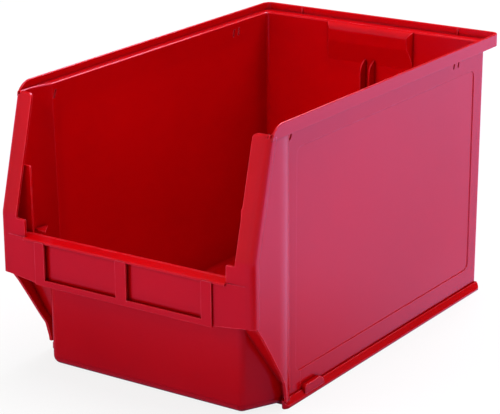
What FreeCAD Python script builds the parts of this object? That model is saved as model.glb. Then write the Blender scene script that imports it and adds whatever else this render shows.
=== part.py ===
import FreeCAD, Part
import math
import os

# Stackable hopper-front storage bin, one polypropylene moulding, millimetres.
# X runs to the bin's right, Y to the back, Z up; the origin is under the middle of the
# overall footprint at the level the bin stands on.  The open hopper front faces -Y.
# In all sizes and tables y is counted back from the front plane; point() shifts it.
# The moulding is cut into regions that meet face to face, one file each.

Vector = FreeCAD.Vector

# ---------------------------------------------------------------- driving dimensions
WIDTH = 314.3            # overall, over the rim
LENGTH = 501.65          # overall, front lip to rear rim
HEIGHT = 301.6           # overall
FRONT_PLANE = LENGTH / 2.0   # distance of the front plane before the origin

WALL = 3.0               # general wall
FLOOR = 3.5              # floor thickness
Z_LEDGE = 293.0          # top of the stacking ledge
Z_UNDER = 290.0          # underside of the ledge

SIDE_TOP = 148.0         # outer half width of the side walls at the ledge
SIDE_BOT = 145.6         # and at the floor
BACK_TOP = 485.5         # outer face of the back wall at the ledge
BACK_BOT = 482.6         # and at the floor
TUB_FRONT = 60.0         # front end of the drafted tub block
R_BACK = 7.0             # vertical outer corners at the back
R_FOOT = 6.0             # outer radius where walls turn into the floor

Z_LIP = 150.0            # top of the front lip
Z_LIP_UNDER = Z_LIP - WALL
LIP_DEPTH = 19.0         # depth of the flat on top of the front lip
Z_APRON = 102.0          # lower edge of the front apron, middle
Z_APRON_SIDE = 107.0     # lower edge of the front apron at the corners
APRON_FACE = 5.0         # depth of the label pocket behind the front plane
Z_KNEE = 172.0           # where the vertical opening edge turns into the sloped edge
SLOPE = 0.267            # set-back of the sloped opening edge per mm of height

CHEEK_Y = 3.8            # front face of the opening flanges below the knee
FLANGE_BACK = CHEEK_Y + WALL
CHEEK_IN = 136.0         # inner edge of the opening flanges (half width)
TAB_IN = 125.3           # inner edge of the step beside the front lip
Z_TAB = 168.0            # top of that step

WING_X = 155.0           # outer face of the flared side wall near the front
FLARE_Y = 52.0           # where the flare starts to turn back in towards the side wall
R_FLARE = 60.25          # plan radius of that turn
FLARE_END = 86.0         # where it has run fully into the side wall
R_CORNER = 6.0           # rounding of the front corner
NOSE_Y = 34.5            # front face of the nose under the hopper
NOSE_CUT_TOP = 140.0     # top of the nose prisms before trimming

CLEAR = 200.0            # half width that clears the bin on both sides
CORE_TOP = 320.0         # top of cutters that clear the bin's height
EDGE_TOL = 0.02          # tolerance when picking edges by position


# ---------------------------------------------------------------- helpers
def point(x, y, z):
    return Vector(x, y - FRONT_PLANE, z)


def direction(start, end):
    """Unit vector from one 2-D point to another."""
    da, db = end[0] - start[0], end[1] - start[1]
    length = math.hypot(da, db)
    return da / length, db / length


def rounded_wire(points, place):
    """Closed wire through 2-D points (a, b[, radius]); place maps (a, b) into space."""
    count = len(points)
    corners = []             # (arc start, arc middle or None, arc end)
    for i, (a, b, *extra) in enumerate(points):
        if not extra:
            corners.append(((a, b), None, (a, b)))
            continue
        radius = extra[0]
        back = direction((a, b), points[i - 1])
        ahead = direction((a, b), points[(i + 1) % count])
        cosine = back[0] * ahead[0] + back[1] * ahead[1]
        half_angle = math.acos(max(-1.0, min(1.0, cosine))) / 2.0
        trim = radius / math.tan(half_angle)
        inward = direction((0.0, 0.0), (back[0] + ahead[0], back[1] + ahead[1]))
        sag = radius / math.sin(half_angle) - radius
        corners.append(((a + back[0] * trim, b + back[1] * trim),
                        (a + inward[0] * sag, b + inward[1] * sag),
                        (a + ahead[0] * trim, b + ahead[1] * trim)))
    edges = []
    for i, (start, middle, end) in enumerate(corners):
        if middle is not None:
            edges.append(Part.Arc(place(*start), place(*middle), place(*end)).toShape())
        following = corners[(i + 1) % count][0]
        if math.hypot(following[0] - end[0], following[1] - end[1]) > 1e-6:
            edges.append(Part.makeLine(place(*end), place(*following)))
    return Part.Wire(edges)


def prism_xy(points, z0, z1):
    wire = rounded_wire(points, lambda a, b: point(a, b, z0))
    return Part.Face(wire).extrude(Vector(0, 0, z1 - z0))


def prism_yz(points, x0=-CLEAR, x1=CLEAR):
    wire = rounded_wire(points, lambda a, b: point(x0, a, b))
    return Part.Face(wire).extrude(Vector(x1 - x0, 0, 0))


def prism_xz(points, y0, y1):
    wire = rounded_wire(points, lambda a, b: point(a, y0, b))
    return Part.Face(wire).extrude(Vector(0, y1 - y0, 0))


def box(x0, x1, y0, y1, z0, z1):
    return Part.makeBox(x1 - x0, y1 - y0, z1 - z0, point(x0, y0, z0))


def slab(y0, y1, z0, z1):
    """Box over the full width of the bin."""
    return box(-CLEAR, CLEAR, y0, y1, z0, z1)


def symmetric(half):
    """Half an outline followed by its mirror image in reverse order."""
    return half + [(-a, *others) for a, *others in reversed(half)]


def mirrored(shape):
    return shape.mirror(Vector(0, 0, 0), Vector(1, 0, 0))


def with_mirror(shape):
    return shape.fuse(mirrored(shape))


def edge_middle(edge):
    """Middle of an edge as (distance from the centre plane, y, z)."""
    middle = edge.valueAt((edge.FirstParameter + edge.LastParameter) / 2.0)
    return abs(middle.x), middle.y + FRONT_PLANE, middle.z


def level_edges(shape, z, test):
    """Edges lying flat at height z that pass the test."""
    return [edge for edge in shape.Edges
            if abs(edge.BoundBox.ZMin - z) < EDGE_TOL
            and abs(edge.BoundBox.ZMax - z) < EDGE_TOL and test(edge)]


def soften(shape, radius, edges):
    """Fillet the edges together, or return the same shape where that is refused."""
    # The fillet kernel may raise an error on small or tangent edges.
    try:
        filleted = shape.makeFillet(radius, edges)
        if filleted.isValid() and filleted.Volume > 0:
            return filleted
    except Exception:
        pass
    return shape


def soften_largest(shape, radii, edges):
    """Fillet with the first radius that works."""
    for radius in radii:
        trial = soften(shape, radius, edges)
        if trial is not shape:
            return trial
    return shape


def opening_y(z, base):
    """Set-back of the opening edge at height z."""
    return base + SLOPE * max(0.0, z - Z_KNEE)


# ---------------------------------------------------------------- flared front envelope
def flare_plan(inset, z):
    """Plan of the flared front of the bin, its side faces moved in by inset."""
    start_y = -20.0
    radius = R_FLARE - inset
    centre_x = WING_X - R_FLARE
    sweep = math.asin((FLARE_END - FLARE_Y) / R_FLARE)

    def on_turn(side, angle):
        return point(side * (centre_x + radius * math.cos(angle)),
                     FLARE_Y + radius * math.sin(angle), z)

    front_left = point(-centre_x - radius, start_y, z)
    front_right = point(centre_x + radius, start_y, z)
    right = [on_turn(1, angle) for angle in (0.0, sweep / 2.0, sweep)]
    left = [on_turn(-1, angle) for angle in (sweep, sweep / 2.0, 0.0)]
    return Part.Wire([
        Part.makeLine(front_left, front_right),
        Part.makeLine(front_right, right[0]),
        Part.Arc(*right).toShape(),
        Part.makeLine(right[-1], left[0]),
        Part.Arc(*left).toShape(),
        Part.makeLine(left[-1], front_left)])


def front_envelope(inset, z0, z1, radius=0.0):
    """Flared front, bounded by the opening plane; its front corners rounded to radius."""
    margin = 5.0
    rear = 200.0
    low, high = z0 - margin, z1 + margin
    front = CHEEK_Y + inset
    body = Part.Face(flare_plan(inset, z0)).extrude(Vector(0, 0, z1 - z0))
    body = body.common(prism_yz([
        (front, low), (front, Z_KNEE, 20.0), (opening_y(high, front), high),
        (rear, high), (rear, low)]))
    if radius <= 0.0:
        return body
    side_x = WING_X - inset
    edges = []
    for edge in body.Edges:
        bounds = edge.BoundBox
        on_side = (abs(abs(bounds.XMin) - side_x) < EDGE_TOL
                   and abs(abs(bounds.XMax) - side_x) < EDGE_TOL)
        if on_side and bounds.YMax + FRONT_PLANE < FLARE_Y - 1.0 and bounds.ZLength > 0.5:
            edges.append(edge)
    return body.makeFillet(radius, edges)


# ---------------------------------------------------------------- tub and nose envelopes
CAVITY_TOP = Z_LEDGE + 20.0
CAVITY_DRAFT = 0.2       # extra half width and length at the top of the cavity

# Faces of the sloped front web, floor to lip: (y, z)
WEB_OUT = [(77.5, -10.0), (77.5, 10.0), (76.0, 22.6), (35.0, 97.0), (16.0, Z_LIP)]
WEB_IN = [(81.5, -10.0), (81.5, 11.0), (79.4, 24.0), (38.3, 98.3), (LIP_DEPTH, Z_LIP)]

# Left half of the nose plan, rear to front: (x, y[, radius])
NOSE_PLAN_OUT = [(-146.0, 104.0), (-140.8, 76.0, 14.0), (-120.5, NOSE_Y, 10.0)]
NOSE_PLAN_IN = [(-142.7, 104.0), (-137.9, 77.3, 11.0), (-118.6, NOSE_Y + WALL, 7.0)]
# Side profile that trims the nose where the sloped web takes over: (y, z)
NOSE_SIDE_OUT = [(0.0, -5.0), (0.0, 150.0), (16.5, 149.0), (35.2, 97.2), (35.2, 149.0),
                 (150.0, 149.0), (150.0, -5.0)]
NOSE_SIDE_IN = [(0.0, -5.0), (0.0, 90.0), (38.3, 98.3), (38.3, 140.0), (150.0, 140.0),
                (150.0, -5.0)]


def drafted_tub(bottom, top, corner_radius, foot_radius):
    """Block between two levels (z, half width, back y), rounded at the rear and foot."""
    z0, half0, back0 = bottom
    z1, half1, back1 = top
    block = prism_xz([(-half0, z0), (half0, z0), (half1, z1), (-half1, z1)],
                     TUB_FRONT - 10.0, back1 + 50.0)
    block = block.common(prism_yz(
        [(TUB_FRONT, z0), (back0, z0), (back1, z1), (TUB_FRONT, z1)], -300.0, 300.0))
    rear = [edge for edge in block.Edges
            if edge.BoundBox.ZLength > 50.0 and edge.BoundBox.YMin + FRONT_PLANE > 300.0]
    block = block.makeFillet(corner_radius, rear)
    return soften(block, foot_radius, level_edges(
        block, z0, lambda edge: edge.BoundBox.YMax + FRONT_PLANE > TUB_FRONT + 1.0))


def nose_block(half_plan, z0, foot_radius, side_profile):
    block = prism_xy(symmetric(half_plan), z0, NOSE_CUT_TOP)
    block = soften(block, foot_radius, level_edges(
        block, z0, lambda edge: edge.BoundBox.YMin + FRONT_PLANE < 103.0))
    return block.common(prism_yz(side_profile))


def behind_web(web, top):
    """Everything behind the sloped web and above the front lip."""
    rear = 520.0
    return prism_yz([(rear, -10.0)] + web + [(-10.0, Z_LIP), (-10.0, top), (rear, top)])


def tub_body(tub_out):
    front = front_envelope(0.0, -5.0, Z_LEDGE, R_CORNER)
    front = front.common(slab(-20, 100, 1.0, Z_LEDGE))
    return tub_out.fuse(front).common(behind_web(WEB_OUT, Z_LEDGE + 20))


def tub_hollow(tub_in):
    cavity = tub_in.fuse(front_envelope(WALL, FLOOR, CAVITY_TOP))
    return cavity.common(behind_web(WEB_IN, Z_LEDGE + 40))


# ---------------------------------------------------------------- rear finger bulge
GRIP_HALF = 57.0         # half width
GRIP_DEPTH = 8.6         # reach into the bin from the back wall


def grip_bulge():
    """Shallow bulge standing into the bin at the top of the back wall."""
    wall_in = BACK_TOP - WALL
    bulge = prism_yz([
        (BACK_TOP, 243.0), (wall_in, 243.0), (wall_in, 247.0, 28.0),
        (wall_in - GRIP_DEPTH + 0.7, 272.0, 14.0), (wall_in - GRIP_DEPTH, Z_LEDGE, 8.3),
        (BACK_TOP, Z_LEDGE)], -GRIP_HALF, GRIP_HALF)
    return bulge.common(prism_xy(symmetric([
        (-GRIP_HALF, 520.0), (-GRIP_HALF, wall_in - GRIP_DEPTH - 0.01, 8.0)]), 200.0, 330.0))


def grip_pocket():
    """Hollow of the bulge, open to the back."""
    half = GRIP_HALF - WALL
    pocket = prism_yz([
        (BACK_TOP + 20.0, 250.0), (BACK_TOP + 0.2, 250.0), (BACK_TOP - 1.2, 253.0, 10.0),
        (BACK_TOP - GRIP_DEPTH + 0.6, Z_LEDGE - 11.0, 4.0),
        (BACK_TOP - GRIP_DEPTH + 1.6, Z_LEDGE - 5.4, 3.0),
        (BACK_TOP - 1.0, Z_LEDGE - 3.0), (BACK_TOP + 20.0, Z_LEDGE - 3.0)], -half, half)
    return pocket.common(prism_xy(symmetric([
        (-half, 540.0), (-half, BACK_TOP - GRIP_DEPTH + 0.5, 3.5)]), 200.0, 330.0))


# ---------------------------------------------------------------- shell
def hopper_opening():
    """Opening between the flanges, with the small step above the front lip."""
    return prism_xz(symmetric([
        (-TAB_IN, Z_LIP), (-TAB_IN, Z_TAB, 1.5), (-CHEEK_IN, Z_TAB, 2.0),
        (-CHEEK_IN, Z_LEDGE, 5.0), (-180.0, Z_LEDGE), (-180.0, 330.0)]), -30.0, 42.5)


def on_mouth(edge):
    """True for the inner edges round the mouth."""
    x, y, _ = edge_middle(edge)
    corner_x, corner_y = SIDE_TOP - R_BACK, BACK_TOP - R_BACK
    if y < FLARE_END:                                # flared front, behind the flanges
        return x < WING_X - WALL + 0.6 and y > opening_y(Z_LEDGE, CHEEK_Y) + WALL + 2.5
    if x > corner_x - 0.5 and y > corner_y - 0.5:    # rear corners
        return math.hypot(x - corner_x, y - corner_y) < R_BACK - 1.5
    return x < SIDE_TOP - WALL + 1.0 and y < BACK_TOP - WALL + 1.0


def round_flange_tops(shell):
    """Round the top edge of each flange."""
    z_low = 270.0
    y_low = opening_y(z_low, CHEEK_Y)
    y_top = opening_y(Z_LEDGE, CHEEK_Y)
    cutter = prism_yz([
        (y_low - 4.0, z_low), (y_top - 4.0, Z_LEDGE + 1.0), (y_top + 6.0, Z_LEDGE + 1.0),
        (y_top + 6.0, Z_LEDGE), (y_top, Z_LEDGE, 2.4), (y_low, z_low)],
        -WING_X + R_CORNER, WING_X - R_CORNER)
    trial = shell.cut(cutter)
    # Taken only where the cut leaves one sound solid and trims no more than a sliver.
    if (trial.isValid() and len(trial.Solids) == 1
            and 0.0 < shell.Volume - trial.Volume < 400.0):
        return trial
    return shell


# Sunk panel in each side wall
PANEL_DEPTH = 0.9
PANEL_FRONT, PANEL_BACK = 95.0, 460.0
PANEL_LOW, PANEL_HIGH = 30.0, 266.0
R_PANEL = 8.0


def panel_cutter():
    """Right-hand sunk panel with sloped steps, leaning with the draft of the wall."""
    panel = prism_yz([
        (PANEL_FRONT, PANEL_LOW, R_PANEL), (PANEL_BACK, PANEL_LOW, R_PANEL),
        (PANEL_BACK, PANEL_HIGH, R_PANEL), (PANEL_FRONT, PANEL_HIGH, R_PANEL)],
        SIDE_BOT - PANEL_DEPTH, SIDE_BOT + 4.0)
    lean = math.degrees(math.atan((SIDE_TOP - SIDE_BOT) / Z_LEDGE))
    panel.rotate(Vector(SIDE_BOT, 0, 0), Vector(0, 1, 0), lean)
    inner_edges = [edge for edge in panel.Edges if edge.BoundBox.XMax < SIDE_BOT + 2.6]
    # The chamfer kernel may refuse the edges; the step then stays square.
    try:
        sloped = panel.makeChamfer(PANEL_DEPTH - 0.1, inner_edges)
        if sloped.isValid() and sloped.Volume > 0.9 * panel.Volume:
            panel = sloped
    except Exception:
        pass
    return panel


# Narrow slots through the side walls under the rim: (front y, back y)
SLOTS = ((80.0, 85.4), (409.5, 413.6), (419.6, 423.4))
SLOT_LOW, SLOT_HIGH = 276.4, 285.4


def slot_cutter(front, back):
    return prism_yz([
        (front, SLOT_LOW, 1.0), (front + 3.2, SLOT_LOW, 1.0),
        (back + 1.4, SLOT_HIGH, 1.0), (back - 1.8, SLOT_HIGH, 1.0)],
        SIDE_BOT - 8.0, SIDE_TOP + 4.0)


def finish_shell(sharp_tub, bulge):
    """Round the mouth, add the finger bulge and cut the details into the walls."""
    edges = level_edges(sharp_tub, Z_LEDGE, on_mouth)
    shell = soften_largest(sharp_tub, (2.2, 1.8, 1.4), edges)
    shell = round_flange_tops(shell)
    shell = shell.fuse(bulge).cut(grip_pocket())
    for cutter in [panel_cutter()] + [slot_cutter(*slot) for slot in SLOTS]:
        shell = shell.cut(cutter).cut(mirrored(cutter))
    return shell


# ---------------------------------------------------------------- front skirt and bead
# Side profile of the skirt: (y, z[, radius])
SKIRT_SIDE = [
    (CHEEK_Y - 5.0, Z_APRON_SIDE), (12.5, 106.0), (17.1, 100.0), (24.7, 90.0),
    (38.0, 70.0), (51.0, 50.0), (63.6, 30.4, 10.0), (67.6, 14.0, 8.0), (68.2, 8.6),
    (95.0, 8.6), (95.0, Z_LIP), (CHEEK_Y - 5.0, Z_LIP)]

BEAD_X = WIDTH / 2.0     # outer face of the bead along the front corner
BEAD_WIDTH = 15.0        # front to back
BEAD_FLAT = 9.4          # where the back of the bead starts to run down to the skin


def front_skirt(front_core):
    """Skirt of the flared front below the hopper."""
    skirt = front_envelope(0.0, -5.0, CORE_TOP, R_CORNER).cut(front_core)
    skirt = skirt.common(prism_yz(SKIRT_SIDE))
    skirt = skirt.cut(box(-150.0, 150.0, -20.0, 20.0, 0.0, CORE_TOP))
    return skirt.cut(box(-140.0, 140.0, -20.0, 120.0, 0.0, CORE_TOP))


def bead_back_face(z):
    """Plan of what is taken off the back of the bead, at height z."""
    rear = CHEEK_Y + 40.0
    flat = CHEEK_Y + BEAD_FLAT
    skin_x = WING_X - 0.3
    outline = [(BEAD_X, flat), (BEAD_X + 3.0, flat), (BEAD_X + 3.0, rear),
               (skin_x, rear), (skin_x, CHEEK_Y + BEAD_WIDTH - 0.6), (BEAD_X, flat)]
    return Part.Face(Part.makePolygon([point(x, y, z) for x, y in outline]))


def corner_beads(front_core):
    """Beads wrapped round both front corners."""
    back = CHEEK_Y + BEAD_WIDTH
    top = opening_y(Z_UNDER, CHEEK_Y)
    bead = prism_yz([
        (CHEEK_Y, Z_APRON_SIDE), (CHEEK_Y, Z_KNEE, 20.0), (top, Z_UNDER),
        (top + BEAD_WIDTH, Z_UNDER), (back, Z_KNEE, 14.0), (back, Z_APRON_SIDE - 1.0)],
        WING_X - WALL - 3.0, BEAD_X)
    front_edges = []
    for edge in bead.Edges:
        if edge.BoundBox.XMin > BEAD_X - EDGE_TOL and edge.BoundBox.ZLength > 0.5:
            _, y, z = edge_middle(edge)
            if y < opening_y(z, CHEEK_Y) + 3.0:
                front_edges.append(edge)
    bead = bead.makeFillet(R_CORNER, front_edges)
    z_start, rise = 100.0, 125.0
    upright = bead_back_face(z_start).extrude(Vector(0.0, 0.0, Z_KNEE - z_start))
    sloped = bead_back_face(Z_KNEE).extrude(Vector(0.0, SLOPE * rise, rise))
    return with_mirror(bead.cut(upright).cut(sloped).cut(front_core))


# ---------------------------------------------------------------- front lip and apron
def front_lip(shell, skirt):
    lip = prism_yz([
        (0.6, Z_LIP_UNDER, 0.8), (0.6, Z_LIP, 1.5), (LIP_DEPTH, Z_LIP, 1.3),
        (LIP_DEPTH + 1.0, Z_LIP_UNDER)], -152.0, 152.0)
    corner = box(TAB_IN, CLEAR, -5.0, FLANGE_BACK, 100.0, 200.0)
    return lip.cut(corner).cut(mirrored(corner)).cut(shell).cut(skirt)


APRON_END = 150.0        # half width of the apron
# Half plans of the apron faces: (x, y[, radius])
APRON_FRONT_LEFT = [(-APRON_END, CHEEK_Y), (-110.0, 1.9, 3.0), (-108.2, APRON_FACE)]
APRON_BACK_RIGHT = [(APRON_END, FLANGE_BACK), (110.0, 5.9), (108.4, APRON_FACE + WALL)]


def front_apron(lip, shell, skirt):
    outline = symmetric([(-160.0, Z_APRON_SIDE), (-APRON_END, Z_APRON_SIDE),
                         (-99.0, Z_APRON, 6.0)])
    outline += [(160.0, Z_LIP + 30), (-160.0, Z_LIP + 30)]
    apron = prism_xy(symmetric(APRON_FRONT_LEFT) + symmetric(APRON_BACK_RIGHT),
                     95.0, Z_LIP_UNDER)
    apron = apron.common(prism_xz(outline, -20.0, 60.0))
    # corner pieces carried up beside the lip
    corner = prism_xy([(TAB_IN, 2.7), (APRON_END, CHEEK_Y), (APRON_END, FLANGE_BACK),
                       (TAB_IN, 2.7 + WALL)], Z_LIP_UNDER, Z_LIP)
    apron = apron.fuse([corner, mirrored(corner)])
    return apron.cut(lip).cut(shell).cut(skirt)


LEAF = 2.4               # thickness of the leaf in front of the card slot
STEM_FRONT = 2.0         # the stems join the leaves to the apron
STEM_BACK = APRON_FACE + 0.5
HOLDER_END = 110.3       # half width of the card holder
# Posts: (leaf x0, leaf x1, stem x0, stem x1)
POSTS = ((-6.6, 6.6, -4.6, 4.6),
         (98.0, HOLDER_END, 100.4, HOLDER_END),
         (-HOLDER_END, -98.0, -HOLDER_END, -100.4))


def holder_post(leaf0, leaf1, stem0, stem1):
    foot, top = Z_APRON + 3.0, Z_LIP - 1.2
    leaf = prism_xz([(leaf0, foot), (leaf1, foot), (leaf1, top, 1.6), (leaf0, top, 1.6)],
                    0.0, LEAF)
    return leaf.fuse(box(stem0, stem1, STEM_FRONT, STEM_BACK, foot, Z_LIP - 2.0))


def card_holder(apron, lip, shell):
    """Bottom bar and three posts, each with a thin front leaf over the card slot."""
    bar_top = Z_APRON + 6.6
    leaf = prism_yz([(0.0, Z_APRON, 0.8), (LEAF, Z_APRON), (LEAF, bar_top, 0.6),
                     (0.0, bar_top, 0.6)], -HOLDER_END, HOLDER_END)
    stem = box(-110.0, 110.0, STEM_FRONT, STEM_BACK, Z_APRON + 0.6, Z_APRON + 4.2)
    holder = leaf.fuse([stem] + [holder_post(*post) for post in POSTS])
    return holder.cut(apron).cut(lip).cut(shell)


# ---------------------------------------------------------------- stacking rim
RIM_HALF = WIDTH / 2.0
RIM_WALL = 2.6           # rim lip thickness
R_RIM = 9.0              # rear corners of the rim
Z_SKIRT = 286.8          # lower edge of the rim
RIM_Y = 5.7              # most forward point of the rim lip profile
RIM_INNER_BACK = LENGTH - RIM_WALL


def rim_block(half, back, radius, z0, z1):
    return prism_xy([(-half, 0.0), (half, 0.0), (half, back, radius),
                     (-half, back, radius)], z0, z1)


def on_outer_foot(edge):
    x, y, _ = edge_middle(edge)
    return (x > RIM_HALF - 0.05 or y > LENGTH - 0.05
            or (x > RIM_HALF - 2.8 and y > LENGTH - 2.8))


def rim_lip():
    """Upright band round the sides and back."""
    lip = rim_block(RIM_HALF, LENGTH, R_RIM, Z_SKIRT, HEIGHT).cut(
        rim_block(RIM_HALF - RIM_WALL, RIM_INNER_BACK, R_RIM - RIM_WALL,
                  Z_SKIRT - 5, HEIGHT + 5))
    lip = lip.common(prism_yz([
        (RIM_Y, 100.0), (RIM_Y, Z_KNEE), (opening_y(HEIGHT, RIM_Y), HEIGHT, 22.0),
        (600.0, HEIGHT), (600.0, 100.0)]))
    top_edges = [edge for edge in lip.Edges if edge.BoundBox.ZMin > HEIGHT - EDGE_TOL]
    lip = soften_largest(lip, (1.2, 1.0), top_edges)
    return soften_largest(lip, (1.2, 0.9), level_edges(lip, Z_SKIRT, on_outer_foot))


def rim_ledge():
    """Flat ledge between the walls and the rim lip."""
    overlap = 0.2
    bite = 1.0
    ledge = rim_block(RIM_HALF - RIM_WALL + overlap, RIM_INNER_BACK + overlap,
                      R_RIM - RIM_WALL, Z_UNDER, Z_LEDGE)
    ledge = ledge.cut(rim_block(SIDE_TOP - bite, BACK_TOP - bite, R_BACK - bite,
                                200.0, 400.0))
    ledge = ledge.cut(front_envelope(bite, 250.0, 400.0, 1.6))
    return ledge.common(prism_yz([
        (opening_y(Z_UNDER, CHEEK_Y), Z_UNDER), (opening_y(Z_LEDGE, CHEEK_Y), Z_LEDGE),
        (600.0, Z_LEDGE), (600.0, Z_UNDER)]))


def stacking_rim(shell_sharp, skin):
    rim = rim_lip().fuse(rim_ledge()).cut(shell_sharp).cut(skin)
    # small stiffening ribs inside the rear lip
    for rib_x in (-105.0, 105.0):
        rim = rim.fuse(prism_yz([
            (RIM_INNER_BACK, Z_LEDGE - 1.0), (RIM_INNER_BACK, HEIGHT - 1.2),
            (RIM_INNER_BACK - 0.9, HEIGHT - 1.6), (RIM_INNER_BACK - 1.6, Z_LEDGE - 1.0)],
            rib_x - 0.9, rib_x + 0.9))
    return rim


# ---------------------------------------------------------------- base rails and lugs
RAIL_X = 152.2           # outer edge of the base rails
# Section of the right-hand rail: (x, z[, radius])
RAIL_SECTION = [
    (130.0, 0.0), (RAIL_X, 0.0, 1.0), (RAIL_X, 2.6, 1.0), (148.1, 8.0),
    (147.8, 8.6, 0.4), (143.0, 8.6), (143.0, 2.8), (130.0, 2.8)]
# Its plan: (x, y[, radius])
RAIL_PLAN = [
    (128.0, 86.0), (128.0, 477.0), (RAIL_X - 3.0, 479.5, 3.0), (RAIL_X, 476.0, 5.0),
    (RAIL_X, 130.0, 40.0), (RAIL_X - 0.4, 73.0, 4.0), (RAIL_X - 3.2, 68.6, 2.0),
    (146.0, 69.4, 2.0), (140.0, 78.0)]
# Side profile of the lugs: (y, z[, radius])
LUG_SIDE = [(104.6, 2.4), (104.6, 11.6, 1.2), (107.0, 13.6, 1.6), (134.0, 13.6, 2.5),
            (139.5, 9.4, 2.0), (142.0, 2.4)]
LUG_INNER, LUG_OUTER = 144.0, 151.4


def right_rail(hollow, nose_in, shell, skin):
    """Low band along the foot of the wall, running down and out to a rounded foot."""
    rail = prism_xz(RAIL_SECTION, 60.0, 485.0).common(prism_xy(RAIL_PLAN, -1.0, 10.0))
    return rail.cut(hollow).cut(nose_in).cut(shell).cut(skin)


def right_lug(rail, shell):
    lug = prism_yz(LUG_SIDE, LUG_INNER, LUG_OUTER)
    outer = [edge for edge in lug.Edges if edge.BoundBox.XMin > LUG_OUTER - 0.1]
    return soften(lug, 0.8, outer).cut(rail).cut(shell)


# ---------------------------------------------------------------- ribs inside
def divider_rib(x):
    return prism_yz([
        (BACK_TOP, 6.0), (467.6, 6.0), (468.2, 248.0, 16.0), (BACK_TOP - 3.6, 254.5),
        (BACK_TOP, 254.5)], x - 0.8, x + 0.8)


def divider_ribs(hollow, shell):
    """Pair of guide ribs for a lengthwise divider, at the back wall."""
    return divider_rib(-6.0).fuse(divider_rib(6.0)).common(hollow).cut(shell)


def right_window_rib(hollow, shell, lip):
    """Guide rib for a clear window, just behind the opening flange, and the gusset."""
    low, high = 128.0, 220.0
    rib = prism_xz([(130.6, low), (130.6, high, 1.2), (153.5, high), (153.5, low)],
                   22.6, 24.6).common(hollow)
    # small level gusset in the front corner of the flare
    gusset = prism_xy([(135.2, 47.9), (147.5, 66.5), (154.0, 58.0), (154.0, 52.0)],
                      139.0, 140.6).common(hollow)
    return rib.fuse(gusset).cut(shell).cut(lip)


# ---------------------------------------------------------------- regions of the tub
Z_FLOOR_REGION = FLOOR + 5.0
FLANGE_OUT = 149.0       # outer end of the flange region
NOSE_HALF = 141.2        # half width of the nose region
# Just outside the two faces of the sloped web: (y, z)
WEB_REGION = [
    (0.0, 60.0), (0.0, Z_LIP + 0.01), (LIP_DEPTH + 0.01, Z_LIP + 0.01), (38.31, 98.3),
    (79.41, 24.0), (81.51, 11.0), (81.51, Z_FLOOR_REGION), (77.4, Z_FLOOR_REGION),
    (77.4, 10.0), (75.9, 22.6), (34.9, 97.0)]


def flange_zone():
    """Front plane of the hopper either side of the opening."""
    top = 330.0
    return prism_yz([
        (-10.0, Z_LIP), (FLANGE_BACK, Z_LIP), (FLANGE_BACK, Z_KNEE, 17.0),
        (opening_y(top, FLANGE_BACK), top), (-10.0, top)], -FLANGE_OUT, FLANGE_OUT)


def web_zone(front_core, tub_in):
    inside = front_core.common(slab(-50, 100, -10, 400)).fuse(tub_in)
    return prism_yz(WEB_REGION).common(inside)


def floor_zone(nose_out, tub_in, tub_out):
    """Low slab, held at the front to the outlines of the nose and tub."""
    outlines = nose_out.fuse(tub_in).fuse(tub_out.common(slab(76.0, 120, -5, 400)))
    beyond = slab(-50, 90.0, -6.0, 400.0).cut(outlines)
    return slab(-50, 600, -5.0, Z_FLOOR_REGION).cut(beyond)


def wing_zone():
    middle = box(-NOSE_HALF, NOSE_HALF, -50, 110.0, -5, 400)
    return slab(-50, 88.0, -5, 400).cut(middle)


# ---------------------------------------------------------------- output
def export(name, shape):
    """Write one clean solid or compound of solids, leaving out stray slivers."""
    solids = [part for part in shape.removeSplitter().Solids if part.Volume > 0.5]
    piece = solids[0] if len(solids) == 1 else Part.Compound(solids)
    piece.exportStep("parts/%s.step" % name)


def export_halves(name, shape):
    """Write the two sides of the centre plane as a left and a right piece."""
    export("left_" + name, shape.common(box(-CLEAR, 0, -50, 600, -5, 400)))
    export("right_" + name, shape.common(box(0, CLEAR, -50, 600, -5, 400)))


def export_tub(rest, zones):
    """Take the zones off in turn: (exporter, name, zone); the side walls remain."""
    for write, name, zone in zones:
        write(name, rest.common(zone))
        rest = rest.cut(zone)
    export_halves("side_wall", rest)


# ---------------------------------------------------------------- build
tub_out = drafted_tub((0.0, SIDE_BOT, BACK_BOT), (Z_LEDGE, SIDE_TOP, BACK_TOP),
                      R_BACK, R_FOOT)
tub_in = drafted_tub(
    (FLOOR, SIDE_BOT - WALL, BACK_BOT - WALL),
    (CAVITY_TOP, SIDE_TOP - WALL + CAVITY_DRAFT, BACK_TOP - WALL + CAVITY_DRAFT),
    R_BACK - WALL, 5.0)
nose_out = nose_block(NOSE_PLAN_OUT, 0.0, 9.0, NOSE_SIDE_OUT)
nose_in = nose_block(NOSE_PLAN_IN, FLOOR, 6.5, NOSE_SIDE_IN)
hollow = tub_hollow(tub_in)
front_core = front_envelope(WALL, -5.0, CORE_TOP)

sharp_tub = tub_body(tub_out).fuse(nose_out).cut(hollow.fuse(nose_in))
sharp_tub = sharp_tub.cut(hopper_opening()).removeSplitter()
bulge = grip_bulge()
shell_sharp = sharp_tub.fuse(bulge)      # unrounded, so neighbours stay clear of the fillets
shell = finish_shell(sharp_tub, bulge)

skirt = front_skirt(front_core)
lip = front_lip(shell, skirt)
apron = front_apron(lip, shell, skirt)
skin = skirt.fuse(corner_beads(front_core))
for neighbour in (shell_sharp, hollow, nose_out, apron, lip):
    skin = skin.cut(neighbour)
rim = stacking_rim(shell_sharp, skin)
rail = right_rail(hollow, nose_in, shell, skin)

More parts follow.
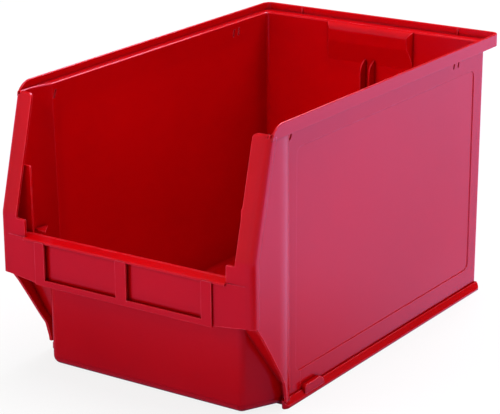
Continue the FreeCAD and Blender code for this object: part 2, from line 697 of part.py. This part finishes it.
os.makedirs("parts", exist_ok=True)
export_tub(shell.fuse(skin), [
    (export_halves, "opening_flange", flange_zone()),
    (export, "sloped_front_web", web_zone(front_core, tub_in)),
    (export, "floor_panel", floor_zone(nose_out, tub_in, tub_out)),
    (export_halves, "front_wing", wing_zone()),
    (export, "rear_finger_recess",
     box(-GRIP_HALF - 3.0, GRIP_HALF + 3.0, 440.0, 520.0, 241.0, 320.0)),
    (export, "back_wall", slab(470.0, 520.0, -5, 400)),
    (export, "nose_wall", box(-NOSE_HALF, NOSE_HALF, 20.0, 104.0, -5.0, 99.0))])
export("front_lip", lip)
export("front_apron", apron)
export("card_holder", card_holder(apron, lip, shell))
rear_zone = slab(BACK_TOP - 3.0, 600, 200, 400)
export("rear_stacking_rim", rim.common(rear_zone))
export_halves("stacking_rim", rim.cut(rear_zone))
export("right_base_rail", rail)
export("left_base_rail", mirrored(rail))
export("anti_slide_lugs", with_mirror(right_lug(rail, shell)))
export("divider_guide_ribs", divider_ribs(hollow, shell))
export("window_guide_ribs", with_mirror(right_window_rib(hollow, shell, lip)))
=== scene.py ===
# Red moulded plastic bin on a pale studio floor.
# The bin stands on z = 0, centred on x = 0, with its front toward -Y.
# The CAD meshes stay as loaded: this gives them one plastic, a floor, lights and a camera.
import math
import bpy
from mathutils import Vector, Matrix

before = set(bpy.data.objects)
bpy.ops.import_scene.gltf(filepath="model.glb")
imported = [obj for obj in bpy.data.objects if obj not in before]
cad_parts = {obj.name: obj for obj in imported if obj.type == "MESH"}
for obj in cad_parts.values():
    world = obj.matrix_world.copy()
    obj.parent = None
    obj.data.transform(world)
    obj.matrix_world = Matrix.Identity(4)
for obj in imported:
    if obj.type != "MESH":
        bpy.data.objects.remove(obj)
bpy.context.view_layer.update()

# Floor
FLOOR_SIZE = 30.0
FLOOR_Z = -0.0004                         # just under the bin, so the faces never coincide
FLOOR_GREY = 0.62                         # floor albedo for bounced light
FLOOR_WHITE = 0.80                        # share of plain white in what the camera sees
FLOOR_FRONT, FLOOR_BACK = 0.42, 1.30      # painted reflection: floor brightness seen only in the plastic's mirrored rays, front and back
MIRROR_TINT = (1.0, 0.58, 1.05, 1.0)      # colour of the painted floor reflection in the plastic
DIM_CENTRE = (0.85, -0.75, 0.0)           # front-right spot where the painted floor reflection is darkest, a painted shade

# Sky
SKY_FILL = 0.46                           # brightness for diffuse light
SKY_FRONT, SKY_BACK = 0.35, 0.03          # mirrored brightness, front and back
SKY_SEEN = 1.0                            # brightness seen by the camera

# Flat seams between regions of the one moulding, where no painted edge highlight is drawn.
# Coordinate ("side" is the distance from x = 0), its value at the seam, and the
# part of the bin the seam is limited to: (coordinate, comparison, bound).
SEAMS = (
    ("y", -0.1628, None),
    ("y", 0.2192, None),
    ("y", 0.2317, None),
    ("side", 0.1495, ("y", "LESS_THAN", -0.19)),
    ("side", 0.0600, ("z", "GREATER_THAN", 0.20)),
    ("z", 0.2410, ("y", "GREATER_THAN", 0.20)),
    ("z", 0.0085, ("side", "LESS_THAN", 0.1462)),
    ("side", 0.1412, ("z", "LESS_THAN", 0.10)),
)
SEAM_FADE = (0.0014, 0.0024)              # distances over which a seam's mask fades out


# ------------------------------------------------------------------ shader graph helper
class Graph:
    """Adds nodes to a tree. An input may be given a value or another node's output."""

    def __init__(self, tree):
        self.tree = tree

    def fill(self, node, inputs):
        for key, value in inputs.items():
            if isinstance(value, bpy.types.NodeSocket):
                self.tree.links.new(value, node.inputs[key])
            else:
                node.inputs[key].default_value = value

    def add(self, kind, inputs=None, **settings):
        node = self.tree.nodes.new("ShaderNode" + kind)
        for key, value in settings.items():
            setattr(node, key, value)
        self.fill(node, inputs or {})
        return node

    def math(self, operation, first, second):
        return self.add("Math", {0: first, 1: second}, operation=operation).outputs["Value"]

    def times(self, first, second):
        return self.math("MULTIPLY", first, second)

    def remap(self, value, span, to, smooth=False):
        """Map the range span onto the range to, clamped at both ends."""
        node = self.add("MapRange", {
            "Value": value,
            "From Min": span[0], "From Max": span[1],
            "To Min": to[0], "To Max": to[1],
        }, interpolation_type="SMOOTHSTEP" if smooth else "LINEAR")
        return node.outputs["Result"]

    def noise(self, vector, scale, detail, roughness=0.5):
        return self.add("TexNoise", {
            "Vector": vector, "Scale": scale, "Detail": detail, "Roughness": roughness,
        }).outputs["Fac"]

    def mix_colour(self, factor, first, second, blend="MIX"):
        # 6, 7 and output 2 are the colour sockets of the Mix node
        return self.add("Mix", {"Factor": factor, 6: first, 7: second},
                        data_type="RGBA", blend_type=blend).outputs[2]

    def mix_float(self, factor, first, second):
        # 2, 3 and output 0 are the float sockets of the Mix node
        return self.add("Mix", {"Factor": factor, 2: first, 3: second},
                        data_type="FLOAT").outputs[0]

    def mix_shader(self, factor, first, second):
        return self.add("MixShader", {"Fac": factor, 1: first, 2: second}).outputs["Shader"]


# ------------------------------------------------------------------ moulded plastic
def seam_mask(graph, geometry):
    """1 on the flat seams, 0 elsewhere."""
    position = graph.add("SeparateXYZ", {"Vector": geometry.outputs["Position"]}).outputs
    coordinates = {
        "side": graph.math("ABSOLUTE", position["X"], 0.0),
        "y": position["Y"],
        "z": position["Z"],
    }
    mask = None
    for coordinate, place, part in SEAMS:
        offset = graph.math("SUBTRACT", coordinates[coordinate], place)
        distance = graph.math("ABSOLUTE", offset, 0.0)
        seam = graph.remap(distance, span=SEAM_FADE, to=(1.0, 0.0))
        if part:
            limited, comparison, bound = part
            seam = graph.times(seam, graph.math(comparison, coordinates[limited], bound))
        mask = graph.math("MAXIMUM", mask, seam) if mask else seam
    return mask


def convex_edges(graph, geometry, crease):
    """1 on outward edges; crease removes the hollow corners, which bend the normal too."""
    bevel = graph.add("Bevel", {"Radius": 0.0011}, samples=4)
    bend = graph.add("VectorMath", {
        0: bevel.outputs["Normal"],
        1: geometry.outputs["Normal"],
    }, operation="DOT_PRODUCT").outputs["Value"]
    edge = graph.times(graph.remap(bend, span=(1.0, 0.86), to=(0.0, 1.0)), crease)
    return graph.times(edge, graph.math("SUBTRACT", 1.0, seam_mask(graph, geometry)))


def plastic_roughness(graph, coords, rough, edge_highlight_mask):
    """Satin, with a few handled patches and streaks, rougher along the painted edge highlights.
    """
    patch = graph.remap(graph.noise(coords, scale=9.0, detail=4.0),
                        span=(0.3, 0.7), to=(rough - 0.03, rough + 0.04))
    flattened = graph.add("Mapping", {"Scale": (1.0, 1.0, 9.0), "Vector": coords})
    streak_noise = graph.noise(flattened.outputs["Vector"],
                               scale=34.0, detail=5.0, roughness=0.65)
    streak = graph.remap(streak_noise, span=(0.55, 0.75), to=(0.0, 0.05))
    # the edges under the painted highlight are made rougher as well
    edge_dullness = 0.18
    return graph.math("ADD", graph.math("ADD", patch, streak),
                      graph.times(edge_highlight_mask, edge_dullness))


def plastic_normal(graph, coords):
    """Fine moulding grain under a very slight sink-mark waviness."""
    grain = graph.add("Bump", {
        "Strength": 0.10,
        "Distance": 0.0002,
        "Height": graph.noise(coords, scale=1400.0, detail=2.0),
    })
    waves = graph.add("Bump", {
        "Strength": 0.35,
        "Distance": 0.0012,
        "Height": graph.noise(coords, scale=7.0, detail=2.0),
        "Normal": grain.outputs["Normal"],
    })
    return waves.outputs["Normal"]


def moulded_plastic(name, base, deep, edge_highlight_colour, rough, edge_highlight_strength):
    """Polypropylene as moulded: faint colour drift, fine grain, painted highlights on convex
    edges and painted shade in hollow corners.
    """
    material = bpy.data.materials.new(name)
    material.use_nodes = True
    material.node_tree.nodes.clear()
    graph = Graph(material.node_tree)
    output = graph.add("OutputMaterial")
    bsdf = graph.add("BsdfPrincipled")
    graph.fill(output, {"Surface": bsdf.outputs["BSDF"]})
    coords = graph.add("TexCoord").outputs["Object"]

    # slow colour drift through the moulding
    drift = graph.add("ValToRGB", {"Fac": graph.noise(coords, scale=5.0, detail=3.0)})
    for element, position, colour in zip(drift.color_ramp.elements, (0.3, 0.7), (deep, base)):
        element.position = position
        element.color = colour

    # painted highlight: convex outer edges are painted paler, broken up by noise
    geometry = graph.add("NewGeometry")
    hollow = graph.add("AmbientOcclusion", {"Distance": 0.005}, samples=6)
    crease = graph.remap(hollow.outputs["AO"], span=(0.35, 0.95), to=(0.0, 1.0))
    edge = convex_edges(graph, geometry, crease)
    highlight_breakup = graph.remap(graph.noise(coords, scale=60.0, detail=6.0, roughness=0.7),
                        span=(0.36, 0.66), to=(0.35, 1.0))
    edge_highlight_mask = graph.times(graph.times(edge, highlight_breakup), edge_highlight_strength)
    colour = graph.mix_colour(edge_highlight_mask, drift.outputs["Color"], edge_highlight_colour)

    # painted shade: hollow corners, found by ambient occlusion, are painted darker and mirror
    # less
    shade = graph.remap(crease, span=(0.0, 1.0), to=(0.50, 1.0))
    grey = graph.add("CombineColor", {"Red": shade, "Green": shade, "Blue": shade})
    graph.fill(bsdf, {
        "Base Color": graph.mix_colour(1.0, colour, grey.outputs["Color"], "MULTIPLY"),
        "Roughness": plastic_roughness(graph, coords, rough, edge_highlight_mask),
        "Normal": plastic_normal(graph, coords),
        "IOR": 1.49,
        "Specular IOR Level": graph.times(shade, 0.5),
        "Specular Tint": (1.0, 0.6, 1.0, 1.0),
        # the thin walls glow a little where light falls on their far side
        "Subsurface Weight": 0.5,
        "Subsurface Radius": (1.0, 0.05, 0.05),
        "Subsurface Scale": 0.006,
    })
    return material


red_plastic = moulded_plastic(
    "moulded_polypropylene_red",
    base=(0.50, 0.0004, 0.0022, 1),
    deep=(0.45, 0.0003, 0.0018, 1),
    # pale colour of the painted highlight on convex edges
    edge_highlight_colour=(0.80, 0.09, 0.13, 1),
    rough=0.17,
    # strength of the painted edge highlight
    edge_highlight_strength=0.8,
)
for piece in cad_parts.values():
    piece.data.materials.clear()
    piece.data.materials.append(red_plastic)


# ------------------------------------------------------------------ floor
def painted_floor_reflection(graph, geometry):
    """Painted reflection of the floor, seen only by mirrored rays: brighter behind and to the
    right (+X), with painted shade just in front of the bin and at a front-right spot.
    """
    position = geometry.outputs["Position"]
    axes = graph.add("SeparateXYZ", {"Vector": position}).outputs
    distance = graph.add("VectorMath", {0: position, 1: DIM_CENTRE}, operation="DISTANCE")
    dim = graph.remap(distance.outputs["Value"],
                      span=(0.25, 0.85), to=(0.08, 1.0), smooth=True)
    behind = graph.remap(axes["Y"], span=(-0.34, 0.26), to=(0.10, FLOOR_BACK), smooth=True)
    before = graph.remap(axes["Y"], span=(-0.52, -0.24), to=(FLOOR_FRONT, 0.0), smooth=True)
    along = graph.math("ADD", behind, before)
    across = graph.remap(axes["X"], span=(0.25, 0.95), to=(0.9, 1.55))
    return graph.add("Emission", {
        "Color": MIRROR_TINT,
        "Strength": graph.times(graph.times(along, across), dim),
    }).outputs["Emission"]


def floor_material():
    """Pale seamless floor, plain to the camera and a painted reflection to mirrored rays."""
    material = bpy.data.materials.new("studio_floor")
    material.use_nodes = True
    graph = Graph(material.node_tree)
    nodes = material.node_tree.nodes
    bsdf = nodes["Principled BSDF"]
    unevenness = graph.add("TexNoise", {"Scale": 3.0})
    bump = graph.add("Bump", {"Strength": 0.02, "Height": unevenness.outputs["Fac"]})
    graph.fill(bsdf, {
        "Base Color": (FLOOR_GREY, FLOOR_GREY, FLOOR_GREY, 1),
        "Roughness": 0.75,
        "Specular IOR Level": 0.1,
        "Normal": bump.outputs["Normal"],
    })

    # the camera sees the same floor, paler
    rays = graph.add("LightPath").outputs
    pale = graph.add("Emission", {"Color": (1, 1, 1, 1), "Strength": 1.05})
    seen = graph.mix_shader(graph.times(rays["Is Camera Ray"], FLOOR_WHITE),
                            bsdf.outputs["BSDF"], pale.outputs["Emission"])

    geometry = graph.add("NewGeometry")
    # mirrored rays see the painted floor reflection instead of the floor
    surface = graph.mix_shader(rays["Is Glossy Ray"], seen, painted_floor_reflection(graph, geometry))

    # from below, the camera looks through the floor at the underside of the bin
    clear = graph.add("BsdfTransparent").outputs["BSDF"]
    from_below = graph.times(geometry.outputs["Backfacing"], rays["Is Camera Ray"])
    graph.fill(nodes["Material Output"],
               {"Surface": graph.mix_shader(from_below, surface, clear)})
    return material


bpy.ops.mesh.primitive_plane_add(size=FLOOR_SIZE, location=(0, 0, FLOOR_Z))
floor = bpy.context.object
floor.name = "studio_floor"
floor.data.materials.append(floor_material())


# ------------------------------------------------------------------ sky
def build_world():
    """White sky with its own brightness for diffuse, mirrored and camera rays."""
    world = bpy.data.worlds.new("studio")
    bpy.context.scene.world = world
    world.use_nodes = True
    graph = Graph(world.node_tree)
    rays = graph.add("LightPath").outputs
    direction = graph.add("TexCoord").outputs["Generated"]
    axes = graph.add("SeparateXYZ", {"Vector": direction}).outputs
    mirrored = graph.remap(axes["Y"], span=(-0.35, 0.25), to=(SKY_FRONT, SKY_BACK), smooth=True)
    lighting = graph.mix_float(rays["Is Glossy Ray"], SKY_FILL, mirrored)
    graph.fill(world.node_tree.nodes["Background"], {
        "Color": (1.0, 1.0, 1.0, 1),
        "Strength": graph.mix_float(rays["Is Camera Ray"], lighting, SKY_SEEN),
    })


bpy.context.scene.view_settings.view_transform = "Standard"
build_world()


# ------------------------------------------------------------------ lights
def add_light(name, kind, location, direction, mirrored=True, **settings):
    """Light shining along direction; mirrored says whether reflections show it."""
    data = bpy.data.lights.new(name, kind)
    for key, value in settings.items():
        setattr(data, key, value)
    light = bpy.data.objects.new(name, data)
    bpy.context.scene.collection.objects.link(light)
    light.location = location
    light.visible_glossy = mirrored
    light.rotation_mode = "QUATERNION"
    light.rotation_quaternion = Vector(direction).to_track_quat("-Z", "Y")


def add_aimed(name, kind, location, target, **settings):
    add_light(name, kind, location, Vector(target) - Vector(location), **settings)


def add_area(name, location, target, width, height, power, color=(1, 1, 1), mirrored=True):
    add_aimed(name, "AREA", location, target, mirrored=mirrored, energy=power, color=color,
              shape="RECTANGLE", size=width, size_y=height)


add_light("key_top", "SUN", location=(0.0, 0.0, 3.0), direction=(0.0, -0.30, -1.0),
          energy=2.0, angle=math.radians(50.0))
add_area("side_right", location=(2.3, 0.7, 1.4), target=(0.0, 0.0, 0.12),
         width=1.1, height=1.1, power=16.0, color=(1.0, 0.8, 1.0))
add_area("front_left", location=(-1.3, -2.1, 0.5), target=(0, 0.0, 0.12),
         width=1.4, height=1.4, power=25.0, mirrored=False)
add_area("back_top", location=(0.0, 1.6, 2.0), target=(0.0, 0.0, 0.25),
         width=1.3, height=0.9, power=32.0, color=(1.0, 0.8, 0.95))
# narrow soft spot, aimed into the bin over its front lip
add_aimed("into_bin", "SPOT", location=(-0.02, -1.45, 1.25), target=(0.0, 0.23, 0.17),
          mirrored=False, energy=128.0, spot_size=math.radians(15.0), spot_blend=0.9,
          shadow_soft_size=0.22)

# ------------------------------------------------------------------ camera
AZIMUTH = math.radians(33.927)            # from straight in front (-Y) toward +X
ELEVATION = math.radians(17.184)
ROLL = math.radians(-0.388)
TARGET = Vector((0.0, -0.000825, 0.17251))
DISTANCE = 2.14726                        # from the target to the camera


def camera_matrix():
    """Camera on a sphere around the target, looking at it."""
    backward = Vector((math.sin(AZIMUTH) * math.cos(ELEVATION),
                       -math.cos(AZIMUTH) * math.cos(ELEVATION),
                       math.sin(ELEVATION)))
    level_right = Vector((math.cos(AZIMUTH), math.sin(AZIMUTH), 0.0))
    level_up = backward.cross(level_right)
    right = level_right * math.cos(ROLL) + level_up * math.sin(ROLL)
    up = backward.cross(right)
    rows = [(right[i], up[i], backward[i], TARGET[i] + backward[i] * DISTANCE)
            for i in range(3)]
    return Matrix((*rows, (0, 0, 0, 1)))


camera_data = bpy.data.cameras.new("camera")
camera = bpy.data.objects.new("camera", camera_data)
bpy.context.scene.collection.objects.link(camera)
camera.matrix_world = camera_matrix()
camera_data.sensor_width = 36.0           # sensor and focal length in mm
camera_data.lens = 142.41816
camera_data.shift_x = -0.02026            # shifts as shares of the frame width
camera_data.shift_y = -0.06304
camera_data.clip_start = 0.05
camera_data.clip_end = 60.0
bpy.context.scene.camera = camera
